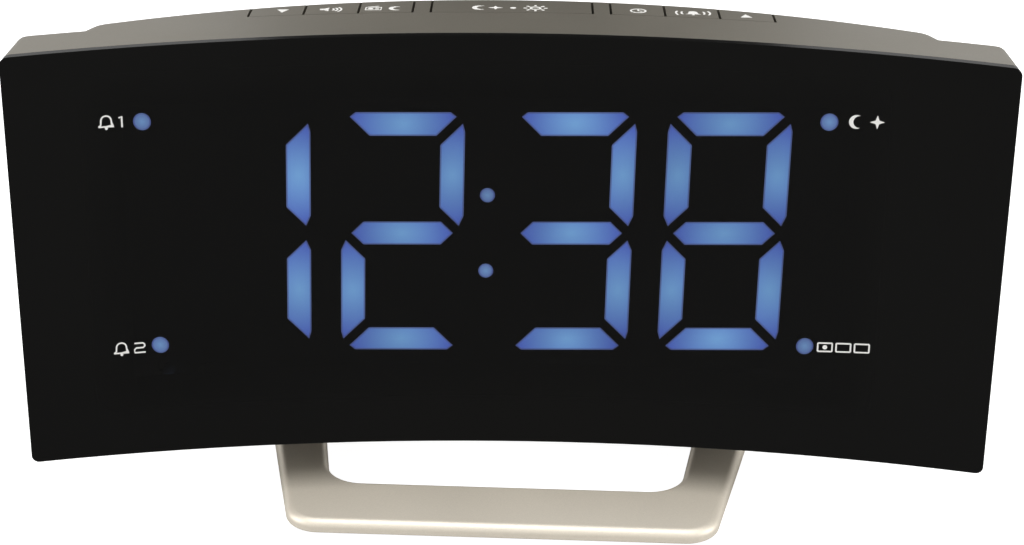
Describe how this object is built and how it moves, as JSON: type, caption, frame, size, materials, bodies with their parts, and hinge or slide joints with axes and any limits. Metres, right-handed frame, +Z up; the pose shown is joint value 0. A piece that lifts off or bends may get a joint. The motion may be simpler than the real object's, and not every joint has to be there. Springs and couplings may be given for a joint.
{
  "type": "projection alarm clock",
  "caption": "Clock radio with a wide hollow smoked panel and blue digits, a humped deck of keys on top, a tilting projector behind, leaning on a flat metal ring stand.",
  "frame": {"origin": "middle of the bounding box on the table", "axes": "+Z up, -Y towards the reader (the display faces -Y and leans back), +X to the reader's right"},
  "size_m": [0.1726, 0.0852, 0.0894],
  "materials": {
    "smoked_panel": "gloss",
    "housing_paint": "satin metallic taupe",
    "key_paint": "satin metallic taupe",
    "black_plastic": "fine texture",
    "grip_plastic": "satin",
    "segment_on": "glowing diffuser",
    "segment_off": "dark diffuser",
    "circuit_board": "solder mask",
    "chip_black": "moulded",
    "lamp_chip": "clear resin",
    "screw_steel": "zinc plated",
    "spacer_plastic": "nylon",
    "paper_cone": "pressed paper",
    "magnet_iron": "plated",
    "cell_sleeve": "printed sleeve",
    "contact_nickel": "nickel plated",
    "rubber_black": "matt",
    "clear_lens": "polished",
    "stand_metal": "satin nickel",
    "riser_plastic": "matt"
  },
  "bodies": {
    "clock": {"antenna_gland": "rubber_black", "back_cover": "black_plastic", "battery_cells": "cell_sleeve", "battery_contacts": "contact_nickel", "battery_tray": "black_plastic", "board_header": "black_plastic", "board_standoffs": "spacer_plastic", "cover_screws": "screw_steel", "cradle_screws": "screw_steel", "dc_jack": "black_plastic", "display_board": "circuit_board", "display_lamps": "lamp_chip", "display_reflector": "black_plastic", "display_screws": "screw_steel", "friction_washers": "spacer_plastic", "front_housing": "housing_paint", "front_lens": "smoked_panel", "indicator_dots": "segment_on", "key_board": "circuit_board", "key_board_screws": "screw_steel", "key_rail": "black_plastic", "key_switches": "chip_black", "main_board": "circuit_board", "main_board_parts": "chip_black", "main_board_screws": "screw_steel", "projector_cradle": "black_plastic", "projector_switch": "chip_black", "segments_lit": "segment_on", "segments_unlit": "segment_off", "speaker_basket": "screw_steel", "speaker_cone": "paper_cone", "speaker_magnet": "magnet_iron", "speaker_screws": "screw_steel", "stand_pads": "rubber_black", "stand_ring": "stand_metal", "stand_risers": "riser_plastic", "stand_screws": "screw_steel"},
    "key_down": {"key_down": "key_paint"},
    "key_volume": {"key_volume": "key_paint"},
    "key_radio": {"key_radio": "key_paint"},
    "key_snooze": {"key_snooze": "key_paint"},
    "key_set": {"key_set": "key_paint"},
    "key_alarm": {"key_alarm": "key_paint"},
    "key_up": {"key_up": "key_paint"},
    "battery_door": {"battery_door": "black_plastic"},
    "projector_key": {"projector_key": "grip_plastic"},
    "projector_head": {"projector_shell_left": "black_plastic", "projector_shell_right": "black_plastic", "lens_tube": "grip_plastic", "condenser_lens": "clear_lens", "image_slide": "black_plastic", "projector_board": "circuit_board", "projector_lamp": "lamp_chip"},
    "lens_holder": {"lens_holder": "black_plastic", "projection_lens": "clear_lens"},
    "focus_ring": {"focus_ring": "grip_plastic"}
  },
  "joints": [
    {"name": "key_down_press", "type": "hinge", "parent": "clock", "child": "key_down", "pos_m": [-0.0425, -0.00399, 0.08377], "axis": [-1, 0, 0], "range_deg": [0, 3.7], "stiffness_Nm_per_rad": 0.006, "springref_deg": -22.92},
    {"name": "key_volume_press", "type": "hinge", "parent": "clock", "child": "key_volume", "pos_m": [-0.0327, -0.0027, 0.08376], "axis": [-1, 0, 0], "range_deg": [0, 3.7], "stiffness_Nm_per_rad": 0.006, "springref_deg": -22.92},
    {"name": "key_radio_press", "type": "hinge", "parent": "clock", "child": "key_radio", "pos_m": [-0.0229, -0.00176, 0.08374], "axis": [-1, 0, 0], "range_deg": [0, 3.7], "stiffness_Nm_per_rad": 0.006, "springref_deg": -22.92},
    {"name": "key_snooze_press", "type": "hinge", "parent": "clock", "child": "key_snooze", "pos_m": [0, -0.00084, 0.08373], "axis": [-1, 0, 0], "range_deg": [0, 3.7], "stiffness_Nm_per_rad": 0.006, "springref_deg": -22.92},
    {"name": "key_set_press", "type": "hinge", "parent": "clock", "child": "key_set", "pos_m": [0.0229, -0.00176, 0.08374], "axis": [-1, 0, 0], "range_deg": [0, 3.7], "stiffness_Nm_per_rad": 0.006, "springref_deg": -22.92},
    {"name": "key_alarm_press", "type": "hinge", "parent": "clock", "child": "key_alarm", "pos_m": [0.0327, -0.0027, 0.08376], "axis": [-1, 0, 0], "range_deg": [0, 3.7], "stiffness_Nm_per_rad": 0.006, "springref_deg": -22.92},
    {"name": "key_up_press", "type": "hinge", "parent": "clock", "child": "key_up", "pos_m": [0.0425, -0.00399, 0.08377], "axis": [-1, 0, 0], "range_deg": [0, 3.7], "stiffness_Nm_per_rad": 0.006, "springref_deg": -22.92},
    {"name": "battery_door_pull", "type": "slide", "parent": "clock", "child": "battery_door", "axis": [0, 0.9945, -0.1045], "range_m": [0, 0.03]},
    {"name": "projector_key_press", "type": "slide", "parent": "clock", "child": "projector_key", "axis": [0, -0.9945, 0.1045], "range_m": [0, 0.0008], "stiffness_N_per_m": 300, "springref_m": -0.0015},
    {"name": "projector_tilt", "type": "hinge", "parent": "clock", "child": "projector_head", "pos_m": [0, 0.02062, 0.06599], "axis": [1, 0, 0], "range_deg": [0, 95]},
    {"name": "focus_turn", "type": "hinge", "parent": "projector_head", "child": "focus_ring", "pos_m": [0, 0.03852, 0.06411], "axis": [0, 0.9945, -0.1045], "range_deg": [-60, 60]},
    {"name": "lens_focus", "type": "slide", "parent": "projector_head", "child": "lens_holder", "axis": [0, 0.9945, -0.1045], "range_m": [-0.00099, 0.00099]}
  ],
  "couplings": [
    {"joint": "focus_turn", "follows": "lens_focus", "rad_per_m": 1050}
  ]
}
